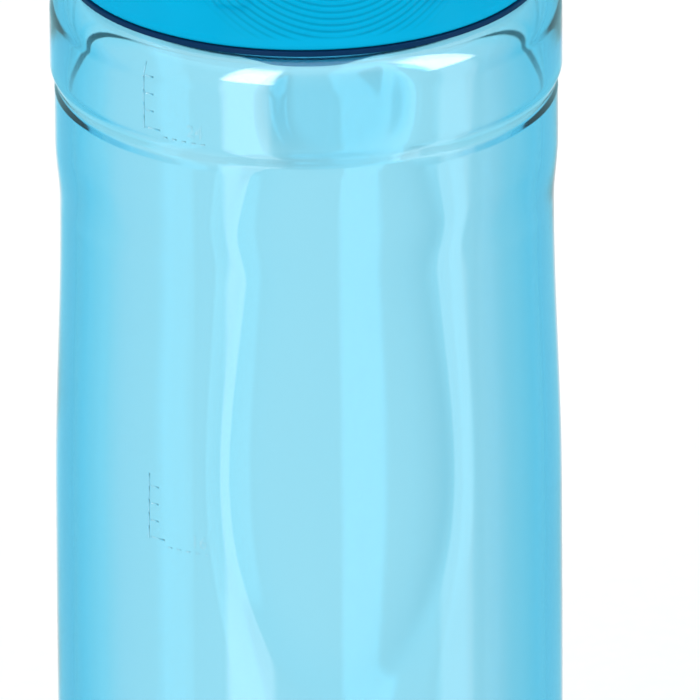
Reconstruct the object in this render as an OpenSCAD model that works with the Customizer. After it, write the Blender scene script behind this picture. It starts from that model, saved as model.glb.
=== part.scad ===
// Sports bottle of clear tinted plastic with a screw-on flip-top lid.
// Millimetres, +Z up, origin at the centre of the base. The lid's button faces -Y.

/* [Bottle] */
// Radius of the straight lower part of the body
body_r = 36.4; // [35.8:0.1:36.4]
// Radius at the waist beside the grip oval
waist_r = 35.25; // [34.8:0.05:35.4]
// Height of the groove under the collar
groove_z = 190; // [188:1:192]
// Height of the collar from the groove to the shoulder
collar_h = 16.8; // [16.5:0.1:17]
// Radius of the collar
collar_r = 36.5; // [36.4:0.1:36.5]
// Thickness of the bottle's wall
wall = 2.4; // [2.2:0.1:2.5]
// Height that the base is pushed up inside its foot ring
push_up = 4; // [3:0.5:6]

/* [Grip oval] */
// Angle about the upright axis from the lid's front to the middle of the oval
grip_turn = 0; // [-10:1:10]
// Height of the middle of the oval
grip_z = 159; // [155:1:162]
// Horizontal radius of the oval's face
grip_r = 70; // [68:1:72]
// Depth of the oval at its middle
grip_depth = 2.4; // [2.2:0.1:2.6]
// Upright radius of the oval's hollow face
grip_sweep = 460; // [440:10:500]

/* [Neck and thread] */
// Outer radius of the neck
neck_r = 28.4; // [28.2:0.1:28.4]
// Thickness of the neck's wall
neck_wall = 2; // [1.8:0.1:2.2]
// Height of the neck above the shoulder
neck_h = 11.5; // [11.4:0.1:11.8]
// Rise of the two-start thread in one turn
lead = 12; // [12:1:12]
// Height of a thread ridge from its wall
ridge_h = 1.2; // [1:0.1:1.2]

/* [Lid] */
// Radius of the lid at its lower edge
lid_r = 33.7; // [33.5:0.1:33.8]
// Gap between the shoulder and the lid's lower edge
lid_gap = 0.5; // [0.5:0.1:0.8]
// Height of the lid's deck above the shoulder
deck_h = 32.2; // [32:0.1:33]
// Radius of the rounding between the lid's side and its deck
deck_round = 7; // [6:0.5:7]
// Thickness of the lid's walls
shell_wall = 1.6; // [1.4:0.1:1.7]

/* [Nozzle and cover] */
// Distance of the nozzle behind the bottle's axis, negative towards the front
nozzle_y = -2; // [-2:0.5:0]
// Radius of the drinking nozzle where it leaves the deck
nozzle_r = 7.6; // [7:0.1:8]
// Height of the nozzle above the deck
nozzle_h = 14; // [13:0.5:14]
// Radius of the cover's dome
dome_r = 14.5; // [14:0.5:15]
// Radius of the housing that hangs under the lid
housing_r = 9.8; // [9.6:0.1:9.8]

/* [Button and loop] */
// Radius of the release button
button_r = 6.5; // [6:0.5:6.5]
// Height of the button's axis above the shoulder
button_h = 22.2; // [22:0.1:22.4]
// Travel of the release button
button_travel = 2.5; // [2:0.5:2.5]
// Height of the carry loop's band
loop_band = 6.4; // [6:0.2:7]
// Height of the loop's pivots above the shoulder
loop_h = 22.2; // [22:0.1:23]

/* [Hidden] */
$fn = 96;
eps = 0.01;
fit = 0.05;                          // running fit and face gap
clear = 0.4;                         // open gap between moving parts

rim_z = groove_z + collar_h;         // shoulder that the lid stands over
neck_top = rim_z + neck_h;
neck_in = neck_r - neck_wall;
deck_z = rim_z + deck_h;

// Body outline
foot_in_r = 26;
foot_r = 28.5;
foot_slope = 2;
heel_z = 9;
heel_r = 35;
straight_z0 = 26;
straight_z1 = 108;
taper_z = 125;
taper = 0.05;
waist_z = 171.3;
under_groove_r = 35.85;
under_groove_z = 181;
groove_depth = 0.6;
collar_round = 6;                    // circular rounding between collar and shoulder
collar_wall = 2.4;
pad_t = 1.8;
pad_half_low = 6.4;
pad_half_high = 9.8;

// Lid heights
gasket_t = 1.6;
ceiling_z = neck_top + gasket_t + 2 * fit;
ceiling_t = 1.75;
insert_r = neck_r + 3;
insert_in = neck_r + 1.6;
skirt_z = rim_z + fit;
foot_flange_r = lid_r + 0.3;
foot_flange_t = lid_gap - 2 * fit;
foot_lip_in = lid_r - 1;
foot_lip_drop = 0.35;
insert_top = ceiling_z + ceiling_t;
lid_z = rim_z + lid_gap;
lid_top_r = lid_r - 1;
button_z = rim_z + button_h;
loop_z = rim_z + loop_h;

// Valve stack
housing_bottom = rim_z - 8.8;
housing_taper_z = rim_z - 1;
housing_tip_r = 6.3;
housing_wall = 1.5;
inlet_r = 3.6;
flange_r = 11.8;
flange_t = 1.5;
seal_t = 0.8;
flange_z = insert_top + seal_t + fit;
valve_z = flange_z + flange_t + fit;
valve_rim_r = 9.9;
valve_rim_t = 1.2;
valve_in_r = 7.6;
slit_w = 0.3;
retainer_z = valve_z;
retainer_t = 2.4;
nozzle_base_z = retainer_z + retainer_t + fit;
nozzle_base_t = 1.4;
nozzle_wall = 2;
nozzle_top = deck_z + nozzle_h;
nozzle_bore = 3.1;
sleeve_r = 11.2;
sleeve_hole = nozzle_r + 0.2;

// Vent valve
vent_y = 17;
vent_head_r = 4;
vent_stem_r = 1.4;
vent_lift = 0.9;

// Cover and hinge
cover_z = deck_z + 0.3;
dome_wall = 1.5;
dome_top = nozzle_top + 3;
pip_r = 2.2;
pip_t = 0.8;
hinge_y = 21;
hinge_z = deck_z + 3;
pin_r = 1;
knuckle_r = 2.7;
knuckle_x0 = 3.4;
knuckle_x1 = 8.6;
ear_x0 = 8.9;
ear_x1 = 11.9;
ear_r = 3;
arm_t = 2.2;
lip_w = 8;
lip_front = 26.5;
lip_t = 2.2;
tongue_y = 24.5;
tongue_t = 2;
tongue_w = 5.6;
barb = 1.9;
barb_h = 1.8;

// Latch slide under the deck
slide_t = 1.8;
slide_top = deck_z - 5.6;
slide_w = 10;
window_w = 6.8;
window_y0 = 28.2;
bar_y = 20.3;
bar_t = 2.8;
slot_w = 6.8;
slot_y0 = 26.9;
slot_y1 = 19.7;
tongue_bottom = slide_top - slide_t - clear - barb_h;

// Button, its spring and the spring's post
button_face = lid_top_r + 1.1;
button_t = 3;
button_back = button_face - button_t;
sleeve_wall = 1.2;
button_hole = button_r + 0.25;
post_y = 22.3;
post_t = 1.6;
post_w = 9;
post_h = 6.5;
spring_r = 2.5;
spring_z = insert_top + 3.5;
wire = 0.6;

// Guard rail round the button
guard_r = 12.3;
guard_w = 4.6;
guard_h = 1;
guard_foot = 6;
guard_y = 27.5;

// Carry loop
loop_in = 33.6;
loop_out = 36.4;
boss_r = 4.6;
loop_pin_r = 2;
pin_head_r = 3;
pin_head_t = 1.4;

// Eased value between two heights, level at both ends
function ease(z, z0, v0, z1, v1) = v0 + (v1 - v0) * (1 - cos(180 * (z - z0) / (z1 - z0))) / 2;

// Radius of the body's outside at a height between the heel and the groove
function body_radius(z) =
    z < straight_z0 ? ease(z, heel_z, heel_r, straight_z0, body_r) :
    z <= straight_z1 ? body_r :
    z < waist_z ? ease(z, taper_z, body_r - taper, waist_z, waist_r) :
    z < under_groove_z ? ease(z, waist_z, waist_r, under_groove_z, under_groove_r) :
    under_groove_r;

body_heights = concat(
    [for (i = [0 : 4]) heel_z + (straight_z0 - heel_z) * i / 4],
    [straight_z1],
    [for (i = [0 : 8]) taper_z + (waist_z - taper_z) * i / 8],
    [for (i = [1 : 4]) waist_z + (under_groove_z - waist_z) * i / 4]
);

// Solid of the body up to a height, its side drawn in by inset and its base raised by lift
module body_solid(inset, lift, top) {
    heel = heel_r - foot_r - inset;
    inner_foot = foot_in_r + 0.6 * inset;
    rotate_extrude()
        polygon(concat(
            [[0, push_up + lift], [inner_foot - foot_slope, push_up + lift], [inner_foot, lift]],
            [for (a = [0 : 15 : 75])
                [foot_r + heel * sin(a), lift + (heel_z - lift) * (1 - cos(a))]],
            [for (z = body_heights) [body_radius(z) - inset, z]],
            [[under_groove_r - inset, top - groove_depth], [under_groove_r - inset - groove_depth, top],
             [0, top]]
        ));
}

// Solid that trims the front of the body to the oval; inset moves its face inwards
module oval_trim(inset) {
    offset_y = grip_r - (waist_r + 0.9 - grip_depth);
    z_low = grip_z - 50;
    z_high = groove_z + 1;
    steps = 12;
    translate([0, offset_y, 0])
        rotate_extrude()
            polygon(concat(
                [[0, -1], [grip_r + 10, -1], [grip_r + 10, z_low]],
                [for (i = [0 : steps])
                    let (z = z_low + (z_high - z_low) * i / steps)
                    [grip_r - inset + pow(z - grip_z, 2) / (2 * grip_sweep), z]],
                [[0, z_high]]
            ));
}

module gripped_body(inset, lift, top) {
    intersection() {
        body_solid(inset, lift, top);
        rotate([0, 0, grip_turn]) oval_trim(inset);
    }
}

// Collar, shoulder and neck, filled; their lower edge overlaps the body inside the groove
module collar_solid() {
    rotate_extrude()
        polygon(concat(
            [[0, groove_z - 3], [collar_r - 1.6, groove_z - 3], [collar_r - 1.6, groove_z - 0.3],
             [collar_r, groove_z + groove_depth]],
            [for (a = [0 : 10 : 90])
                [collar_r - collar_round * (1 - cos(a)), rim_z - collar_round * (1 - sin(a))]],
            [[neck_r + 0.6, rim_z], [neck_r, rim_z + 0.6], [neck_r, neck_top - 0.5],
             [neck_r - 0.5, neck_top], [0, neck_top]]
        ));
}

// Hollow of the collar and the neck
module collar_hollow() {
    inner_r = collar_r - collar_wall;
    inner_round = collar_round - collar_wall;
    rotate_extrude()
        polygon(concat(
            [[0, groove_z - 0.6], [inner_r - 1.6, groove_z - 0.6], [inner_r, groove_z + 1.4]],
            [for (a = [0 : 15 : 90])
                [inner_r - inner_round * (1 - cos(a)), rim_z - collar_round + inner_round * sin(a)]],
            [[neck_in + 1, rim_z - collar_wall - 0.4], [neck_in, rim_z - collar_wall + 0.6],
             [neck_in, neck_top - 0.5], [neck_in + 1.5, neck_top + 1], [0, neck_top + 1]]
        ));
}

// U-shaped pad that thickens the front of the collar's wall on its inside
module collar_pad() {
    inner_r = collar_r - collar_wall;
    low = groove_z + 1.6;
    shoulder = groove_z + 6;
    high = rim_z - 4.6;
    intersection() {
        ring(inner_r + 0.5, inner_r - pad_t, low, high);
        rotate([90, 0, 0])
            linear_extrude(height = collar_r)
                polygon([
                    [-pad_half_low, low], [pad_half_low, low], [pad_half_high, shoulder],
                    [pad_half_high, high], [-pad_half_high, high], [-pad_half_high, shoulder]
                ]);
    }
}

// Closed skin through a list of rings with the same number of points
module sweep(rings) {
    n = len(rings[0]);
    last = len(rings) - 1;
    points = [for (ring = rings) each ring];
    sides = [for (i = [0 : last - 1], j = [0 : n - 1])
        let (a = i * n + j, b = i * n + (j + 1) % n)
        each [[a, b + n, b], [a, a + n, b + n]]];
    caps = [
        [for (j = [0 : n - 1]) j],
        [for (j = [n - 1 : -1 : 0]) last * n + j]
    ];
    polyhedron(points, concat(sides, caps));
}

// One helical thread ridge that climbs with the angle; tip_r inside root_r points it inwards
module thread_ridge(root_r, tip_r, z0, span) {
    steps = round(span / 7.5);
    run_in = 0.2;
    root_half = 1.3;
    tip_half = 0.5;
    inward = tip_r < root_r;
    sweep([for (i = [0 : steps])
        let (
            a = span * i / steps,
            rise = min(1, run_in * (i + 2), run_in * (steps - i + 2)),
            r = root_r + (tip_r - root_r) * rise,
            z = z0 + lead * a / 360,
            section = [[root_r, z + root_half], [r, z + tip_half], [r, z - tip_half],
                       [root_r, z - root_half]],
            n = len(section)
        )
        [for (j = [0 : n - 1])
            let (p = section[inward ? n - 1 - j : j])
            [p[0] * cos(a), p[0] * sin(a), p[1]]]
    ]);
}

// Coil spring standing on z = 0 along +Z
module coil(mean_r, wire_d, length, turns) {
    per_turn = 16;
    sides = 8;
    steps = turns * per_turn;
    sweep([for (i = [0 : steps])
        let (a = 360 * i / per_turn, z = wire_d / 2 + (length - wire_d) * i / steps)
        [for (j = [0 : sides - 1])
            let (
                b = -360 * j / sides,
                r = mean_r + wire_d / 2 * cos(b)
            )
            [r * cos(a), r * sin(a), z + wire_d / 2 * sin(b)]]
    ]);
}

module ring(r_out, r_in, z0, z1) {
    translate([0, 0, z0])
        difference() {
            cylinder(r = r_out, h = z1 - z0);
            translate([0, 0, -eps]) cylinder(r = r_in, h = z1 - z0 + 2 * eps);
        }
}

// Rod along X, centred on the pin
module cross_rod(r, x0, x1) {
    translate([x0, 0, 0]) rotate([0, 90, 0]) cylinder(r = r, h = x1 - x0);
}

thread_z = rim_z + 4.4;
thread_span = 150;
thread_mesh = 1.8;                   // axial distance between the bearing ridges

module bottle_body() {
    color([0.58, 0.84, 0.94, 0.5]) {
        difference() {
            union() {
                gripped_body(0, 0, groove_z);
                collar_solid();
            }
            gripped_body(wall, wall, groove_z + 1);
            collar_hollow();
        }
        collar_pad();
        for (start = [0, 180])
            rotate([0, 0, start])
                thread_ridge(neck_r - 0.4, neck_r + ridge_h, thread_z, thread_span);
    }
}

module cap_gasket() {
    color("whitesmoke") ring(neck_r + 1.2, neck_in + 0.3, neck_top + fit, neck_top + fit + gasket_t);
}

module threaded_insert() {
    color([0.05, 0.3, 0.5]) {
        difference() {
            union() {
                ring(insert_r, insert_in, skirt_z, ceiling_z + eps);
                ring(foot_flange_r, insert_in, skirt_z, skirt_z + foot_flange_t);
                ring(foot_flange_r, foot_lip_in, skirt_z - foot_lip_drop, skirt_z + foot_flange_t / 2);
                translate([0, 0, ceiling_z]) cylinder(r = insert_r, h = ceiling_t);
                translate([-post_w / 2, -post_y, insert_top - eps])
                    cube([post_w, post_t, post_h]);
            }
            translate([0, nozzle_y, ceiling_z - 1]) cylinder(r = housing_r + 0.1, h = ceiling_t + 2);
            translate([0, vent_y, ceiling_z - 1]) cylinder(r = vent_stem_r + fit, h = ceiling_t + 2);
        }
        for (start = [0, 180])
            rotate([0, 0, start])
                thread_ridge(insert_in + 0.4, insert_in - ridge_h, thread_z - thread_mesh, thread_span);
    }
}

// Outline of the lid's outside, drawn in by inset, from its edge to the axis
function lid_outline(inset, bottom, top) =
    let (round_r = deck_round - inset)
    concat(
        [[lid_r - inset, bottom], [lid_top_r - inset, deck_z - deck_round]],
        [for (a = [10 : 10 : 90])
            [lid_top_r - deck_round + round_r * cos(a), deck_z - deck_round + round_r * sin(a)]],
        [[0, top]]
    );

module lid_solid(inset, bottom) {
    rotate_extrude()
        polygon(concat([[0, bottom]], lid_outline(inset, bottom, deck_z - inset)));
}

// Arch-shaped rail that frames the button, seen along Y
module guard_outline() {
    difference() {
        union() {
            circle(r = guard_r + guard_w);
            translate([-guard_r - guard_w, guard_foot - button_h])
                square([2 * (guard_r + guard_w), button_h - guard_foot]);
        }
        circle(r = guard_r);
        translate([-guard_r, guard_foot - button_h - 1])
            square([2 * guard_r, button_h - guard_foot + 1]);
        translate([-lid_r, guard_foot - button_h - lid_r]) square([2 * lid_r, lid_r]);
    }
}

module cap_shell() {
    inner_edge = insert_r + 0.1;
    color([0.03, 0.67, 0.87])
    difference() {
        union() {
            lid_solid(0, lid_z);
            intersection() {
                lid_solid(-guard_h, lid_z);
                translate([0, 0, button_z])
                    rotate([90, 0, 0])
                        translate([0, 0, guard_y])
                            linear_extrude(height = lid_r) guard_outline();
            }
            for (side = [-1, 1])
                translate([side > 0 ? ear_x0 : -ear_x1, hinge_y, hinge_z]) {
                    cross_rod(ear_r, 0, ear_x1 - ear_x0);
                    translate([0, -ear_r, -ear_r - 0.5]) cube([ear_x1 - ear_x0, 2 * ear_r, ear_r + 0.5]);
                }
        }
        // hollow above the insert, and the pocket that the insert snaps into
        difference() {
            union() {
                lid_solid(shell_wall, insert_top);
                translate([0, 0, lid_z - 1])
                    cylinder(r = inner_edge, h = insert_top + 2 * fit - lid_z + 1);
            }
            translate([0, nozzle_y, 0]) cylinder(r = sleeve_r, h = deck_z * 2);
            button_sleeve();
        }
        translate([0, nozzle_y, 0]) cylinder(r = sleeve_hole, h = deck_z * 2);
        translate([0, nozzle_y, 0]) cylinder(r = sleeve_r + 1, h = nozzle_base_z + nozzle_base_t + fit);
        translate([0, 0, button_z]) rotate([90, 0, 0]) cylinder(r = button_hole, h = lid_r * 2);
        translate([-slot_w / 2, -slot_y0, deck_z - shell_wall - 1])
            cube([slot_w, slot_y0 - slot_y1, shell_wall + 2]);
        translate([0, hinge_y, hinge_z]) cross_rod(pin_r + 0.02, -ear_x1 - 1, ear_x1 + 1);
        // room for the cover's knuckle
        translate([0, hinge_y, hinge_z]) cross_rod(knuckle_r + clear, -ear_x0, ear_x0);
        translate([0, 0, loop_z])
            for (side = [-1, 1])
                cross_rod(loop_pin_r + 0.02, side * lid_r - 5, side * lid_r + 5);
    }
}

// Short tube behind the shell that guides the button, cut off above the insert
module button_sleeve() {
    r = button_hole + sleeve_wall;
    intersection() {
        translate([0, 0, button_z])
            rotate([90, 0, 0])
                translate([0, 0, button_back + 0.5]) cylinder(r = r, h = lid_r);
        translate([-r, -2 * lid_r, insert_top + 0.4]) cube(2 * lid_r);
    }
}

module valve_housing() {
    color([0.45, 0.75, 0.88])
    translate([0, nozzle_y, 0])
        rotate_extrude()
            polygon([
                [inlet_r, housing_bottom], [housing_tip_r - 1.2, housing_bottom],
                [housing_tip_r, housing_bottom + 1.6], [housing_r, housing_taper_z],
                [housing_r, flange_z], [flange_r, flange_z], [flange_r, flange_z + flange_t],
                [housing_r - housing_wall, flange_z + flange_t],
                [housing_r - housing_wall, housing_taper_z],
                [housing_tip_r - housing_wall, housing_bottom + 2.4], [inlet_r, housing_bottom + 1.6]
            ]);
}

module housing_seal() {
    color("white")
        translate([0, nozzle_y, 0]) ring(flange_r, housing_r + 0.2, insert_top + fit / 2, flange_z - fit / 2);
}

// Thin hollow disc of silicone with a cross slit that opens under pressure
module slit_valve() {
    color("white")
    translate([0, nozzle_y, valve_z])
        difference() {
            rotate_extrude()
                polygon([[0, 0.3], [5, 0.6], [valve_in_r, 0], [valve_rim_r, 0], [valve_rim_r, valve_rim_t],
                         [valve_in_r, valve_rim_t], [5, 1.3], [0, 0.9]]);
            for (turn = [0, 90])
                rotate([0, 0, turn]) translate([-3.5, -slit_w / 2, -1]) cube([7, slit_w, valve_rim_t + 2]);
        }
}

module valve_retainer() {
    color([0.05, 0.3, 0.5])
    translate([0, nozzle_y, 0])
        difference() {
            ring(flange_r, valve_in_r, retainer_z, retainer_z + retainer_t);
            translate([0, 0, retainer_z - 1]) cylinder(r = valve_rim_r + 0.1, h = 1 + valve_rim_t + fit);
        }
}

module nozzle() {
    bulb = nozzle_r - 0.2;
    waist = nozzle_r - 1.4;
    base_top = nozzle_base_z + nozzle_base_t;
    color([0.85, 0.93, 0.96])
    translate([0, nozzle_y, 0])
        rotate_extrude()
            polygon(concat(
                [[nozzle_r - nozzle_wall, nozzle_base_z], [flange_r, nozzle_base_z], [flange_r, base_top],
                 [nozzle_r, base_top], [nozzle_r, deck_z + 1]],
                [for (i = [1 : 6]) let (z = deck_z + 1 + i * 0.7) [ease(i, 0, nozzle_r, 6, waist), z]],
                [for (i = [1 : 6]) let (z = deck_z + 5.2 + i * 0.7) [ease(i, 0, waist, 6, bulb), z]],
                [for (a = [15 : 15 : 75])
                    [bulb - 3 * (1 - cos(a)), nozzle_top - 3 + 3 * sin(a)]],
                [[bulb - 3, nozzle_top], [nozzle_bore + 0.6, nozzle_top], [nozzle_bore, nozzle_top - 0.6],
                 [nozzle_bore, deck_z + 7], [nozzle_r - nozzle_wall - 1, deck_z + 2],
                 [nozzle_r - nozzle_wall, deck_z - 1]]
            ));
}

// Umbrella valve that lets air back in
module vent_valve() {
    color("white")
    translate([0, vent_y, ceiling_z])
        rotate_extrude()
            polygon([[0, -fit - vent_lift], [vent_head_r, -fit - 0.5], [vent_head_r, -fit],
                [vent_stem_r, -fit],
                     [vent_stem_r, ceiling_t + 0.1], [vent_stem_r + 0.7, ceiling_t + 0.1],
                     [vent_stem_r, ceiling_t + 1.6], [0, ceiling_t + 1.6]]);
}

// Dome profile: upright at its foot and rounded over
function dome_outline(inset, foot) = concat(
    [[0, foot], [dome_r - inset, foot], [dome_r - inset, cover_z + 5]],
    [for (a = [10 : 10 : 90])
        [(dome_r - inset) * cos(a), cover_z + 5 + (dome_top - inset - cover_z - 5) * sin(a)]]
);

module flip_cover() {
    arm_w = 2 * knuckle_x1;
    color([0.03, 0.67, 0.87])
    difference() {
        union() {
            translate([0, nozzle_y, 0]) rotate_extrude() polygon(dome_outline(0, cover_z));
            translate([-arm_w / 2, 0, cover_z]) cube([arm_w, hinge_y, arm_t]);
            translate([0, hinge_y, hinge_z]) cross_rod(knuckle_r, -knuckle_x1, knuckle_x1);
            translate([-arm_w / 2, hinge_y - 5, cover_z]) cube([arm_w, 5, hinge_z - cover_z]);
            // thumb lip over the button
            intersection() {
                translate([-lip_w, -lip_front, cover_z]) cube([2 * lip_w, lip_front, lip_t]);
                translate([0, -lip_front + 12, cover_z]) cylinder(r = 12, h = lip_t);
            }
            translate([-lip_w, -lip_front + 6, cover_z]) cube([2 * lip_w, lip_front - 6, lip_t]);
            // tongue that drops through the deck, with its barb to the back
            translate([-tongue_w / 2, -tongue_y, tongue_bottom])
                cube([tongue_w, tongue_t, cover_z + lip_t - tongue_bottom]);
            translate([-tongue_w / 2, -tongue_y, tongue_bottom])
                cube([tongue_w, tongue_t + barb, barb_h]);
        }
        translate([0, nozzle_y, 0]) rotate_extrude() polygon(dome_outline(dome_wall, cover_z - 1));
        translate([0, hinge_y, hinge_z]) cross_rod(pin_r + fit, -knuckle_x1 - 1, knuckle_x1 + 1);
        translate([-knuckle_x0, hinge_y - 6, cover_z - 1]) cube([2 * knuckle_x0, 12, 10]);
    }
}

module cover_plug() {
    top = dome_top - dome_wall - fit;
    color("white")
    translate([0, nozzle_y, 0])
        rotate_extrude()
            polygon([[0, nozzle_top + fit - pip_t], [pip_r, nozzle_top + fit - pip_t],
                [pip_r, nozzle_top + fit],
                     [nozzle_bore + 1.4, nozzle_top + fit], [nozzle_bore + 1.4, top - 0.8], [2, top - 0.2],
                     [0, top]]);
}

module hinge_pin() {
    color("silver") translate([0, hinge_y, hinge_z]) cross_rod(pin_r, -ear_x1 + 0.2, ear_x1 - 0.2);
}

module hinge_spring() {
    color("silver")
    translate([-knuckle_x0 + 0.5, hinge_y, hinge_z])
        rotate([0, 90, 0])
            coil(pin_r + 0.45, 0.5, 2 * knuckle_x0 - 1, 6);
}

// Round pad that the thumb presses
module release_button() {
    color([0.03, 0.62, 0.82])
    translate([0, 0, button_z])
        rotate([90, 0, 0])
            rotate_extrude()
                polygon(concat(
                    [[0, button_back], [button_r, button_back]],
                    [for (a = [0 : 15 : 90])
                        [button_r - 1 + cos(a), button_face - 1 + sin(a)]],
                    [[0, button_face - 0.4]]
                ));
}

// Sliding latch behind the button, with a window for the cover's tongue
module latch_slide() {
    low = slide_top - slide_t;
    reach = button_back - fit;
    stem_t = 1.6;
    plate_z = insert_top + 0.9;
    color("dimgray")
    difference() {
        union() {
            translate([-slide_w / 2, -reach, low]) cube([slide_w, reach - bar_y + bar_t, slide_t]);
            translate([-slide_w / 2, -reach, plate_z]) cube([slide_w, stem_t, slide_top - plate_z]);
        }
        translate([-window_w / 2, -window_y0, low - 1]) cube([window_w, window_y0 - bar_y, slide_t + 2]);
    }
}

module button_spring() {
    length = button_back - 1.6 - post_y - 4 * fit;
    color("silver")
    translate([0, -post_y - fit, spring_z])
        rotate([90, 0, 0])
            coil(spring_r, wire, length, 5);
}

// Half ring that lies round the back of the lid and swings up over it
module carry_loop() {
    half = loop_band / 2;
    color([0.03, 0.62, 0.82])
    translate([0, 0, loop_z])
        difference() {
            union() {
                rotate_extrude(angle = 180)
                    polygon([[loop_in, -half + 0.8], [loop_in + 0.8, -half], [loop_out - 1.2, -half],
                             [loop_out, -half + 1.2], [loop_out, half - 1.2], [loop_out - 1.2, half],
                             [loop_in + 0.8, half], [loop_in, half - 0.8]]);
                intersection() {
                    rotate([90, 0, 90])
                        translate([0, 0, -loop_out]) cylinder(r = boss_r, h = 2 * loop_out);
                    ring(loop_out, loop_in, -boss_r, boss_r);
                }
            }
            cross_rod(loop_pin_r + fit, -loop_out - 1, loop_out + 1);
        }
}

module loop_pins() {
    head_x = lid_top_r - shell_wall - 0.2;
    color("silver")
    translate([0, 0, loop_z])
        for (side = [-1, 1])
            scale([side, 1, 1]) {
                cross_rod(loop_pin_r, head_x - 0.5, loop_out - 0.2);
                cross_rod(pin_head_r, head_x - pin_head_t, head_x);
            }
}

bottle_body();
cap_gasket();
threaded_insert();
cap_shell();
valve_housing();
housing_seal();
slit_valve();
valve_retainer();
nozzle();
vent_valve();
flip_cover();
cover_plug();
hinge_pin();
hinge_spring();
release_button();
latch_slide();
button_spring();
carry_loop();
loop_pins();
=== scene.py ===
"""Looks of the sports bottle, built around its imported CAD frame.

Lengths are in millimetres, apart from the camera's, the materials' and those multiplied by MM.
"""
import math

import bmesh
import bpy
import numpy as np
from mathutils import Matrix, Vector


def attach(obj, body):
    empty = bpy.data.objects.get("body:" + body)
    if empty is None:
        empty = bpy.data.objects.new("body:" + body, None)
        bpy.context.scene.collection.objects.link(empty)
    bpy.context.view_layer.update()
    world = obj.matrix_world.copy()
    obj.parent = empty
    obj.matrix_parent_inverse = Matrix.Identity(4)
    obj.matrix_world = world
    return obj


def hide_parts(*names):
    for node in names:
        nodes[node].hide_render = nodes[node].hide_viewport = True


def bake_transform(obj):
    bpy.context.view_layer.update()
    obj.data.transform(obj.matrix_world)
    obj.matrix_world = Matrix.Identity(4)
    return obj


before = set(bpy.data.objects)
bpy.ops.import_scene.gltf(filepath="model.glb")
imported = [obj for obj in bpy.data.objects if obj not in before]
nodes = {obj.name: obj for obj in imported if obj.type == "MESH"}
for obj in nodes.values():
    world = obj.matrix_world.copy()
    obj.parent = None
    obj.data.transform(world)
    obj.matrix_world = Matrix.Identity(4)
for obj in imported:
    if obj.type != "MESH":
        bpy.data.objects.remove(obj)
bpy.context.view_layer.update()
MM = 0.001

# ---------------------------------------------------------------- main sizes
RIM_Z = 206.8
GROOVE_Z = 190.0
COLLAR_R = 36.47
NECK_R = 28.4
NECK_IN = 26.4
NECK_TOP = 218.3
WALL = 2.4
COLLAR_WALL = 2.4
COLLAR_ROUND = 6.0
PAD = 1.25
LEAD = 12.0
DECK_Z = 239.0
LID_EDGE_R = 33.7
LID_TOP_R = 32.7
LID_Z = 207.3
DECK_ROUND = 7.0
BUTTON_Z = 229.0
RING_PITCH = 0.95
BUTTON_FACE = 33.42
NOZZLE_Y = -2.0
VENT_Y = 17
COVER_R = 14.5
COVER_TOP = 256
CEILING_Z = 220.0
INSERT_TOP = 221.75
HINGE = (0.0, 21.0, 242.0)
LOOP_Z = 229.0
LOOP_IN = 33.6
LOOP_OUT = 36.4
LOOP_HALF = 3.2
PIVOT_R = 2.03
PIN_HOLE_R = 1.03
SCALE_TURN = -46.5

# the camera's angles in degrees and lengths in metres
CAMERA_TURN = -7.7
CAMERA_TILT = 23.0
CAMERA_ROLL = -0.33
CAMERA_AWAY = 2.783
CAMERA_AIM_Z = 0.1474
CAMERA_AIM_RIGHT = 0.006
CAMERA_LENS = 1000


# ---------------------------------------------------------------- camera
def make_camera():
    azimuth, tilt = math.radians(CAMERA_TURN), math.radians(CAMERA_TILT)
    back = Vector((math.sin(azimuth) * math.cos(tilt), -math.cos(azimuth) * math.cos(tilt), math.sin(tilt)))
    right = Vector((math.cos(azimuth), math.sin(azimuth), 0))
    aim = Vector((0, 0, CAMERA_AIM_Z)) + CAMERA_AIM_RIGHT * right
    data = bpy.data.cameras.new("camera")
    data.lens = CAMERA_LENS
    data.sensor_width = 36
    data.clip_start, data.clip_end = 0.1, 50
    camera = bpy.data.objects.new("camera", data)
    camera.location = aim + CAMERA_AWAY * back
    roll = Matrix.Rotation(math.radians(CAMERA_ROLL), 3, back)
    camera.rotation_mode = "QUATERNION"
    camera.rotation_quaternion = (roll @ (-back).to_track_quat("-Z", "Y").to_matrix()).to_quaternion()
    bpy.context.scene.collection.objects.link(camera)
    bpy.context.scene.camera = camera


make_camera()


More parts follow.
